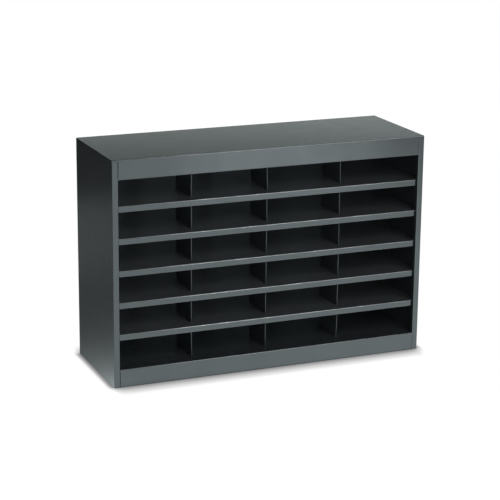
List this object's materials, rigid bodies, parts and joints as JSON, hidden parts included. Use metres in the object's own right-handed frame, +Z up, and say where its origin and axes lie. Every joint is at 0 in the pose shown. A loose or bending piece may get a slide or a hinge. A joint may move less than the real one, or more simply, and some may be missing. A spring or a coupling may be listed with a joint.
{
  "type": "pigeonhole mail sorter",
  "caption": "Low steel cabinet with an open front, a grid of wide flat pigeonholes, lipped shelves and short upright divider plates.",
  "frame": {"origin": "on the surface that the cabinet stands on, under the middle of its width and depth", "axes": "+X to the right of someone who faces the open front, -Y out of the open front, +Z up"},
  "size_m": [0.9524, 0.3238, 0.65],
  "materials": {
    "case": "charcoal powder coat, semi-gloss, on the folded case sheets",
    "shelf": "charcoal powder coat, semi-gloss, on the shelf trays",
    "divider": "charcoal powder coat, semi-gloss, on the divider plates"
  },
  "bodies": {
    "root": {"left_side_panel": "case", "right_side_panel": "case", "top_panel": "case", "base_panel": "case", "back_panel": "case", "ceiling_panel": "shelf", "shelf_1": "shelf", "shelf_2": "shelf", "shelf_3": "shelf", "shelf_4": "shelf", "shelf_5": "shelf", "divider_r1_c1": "divider", "divider_r1_c2": "divider", "divider_r1_c3": "divider", "divider_r2_c1": "divider", "divider_r2_c2": "divider", "divider_r2_c3": "divider", "divider_r3_c1": "divider", "divider_r3_c2": "divider", "divider_r3_c3": "divider", "divider_r4_c1": "divider", "divider_r4_c2": "divider", "divider_r4_c3": "divider", "divider_r5_c1": "divider", "divider_r5_c2": "divider", "divider_r5_c3": "divider", "divider_r6_c1": "divider", "divider_r6_c2": "divider", "divider_r6_c3": "divider"}
  },
  "joints": []
}
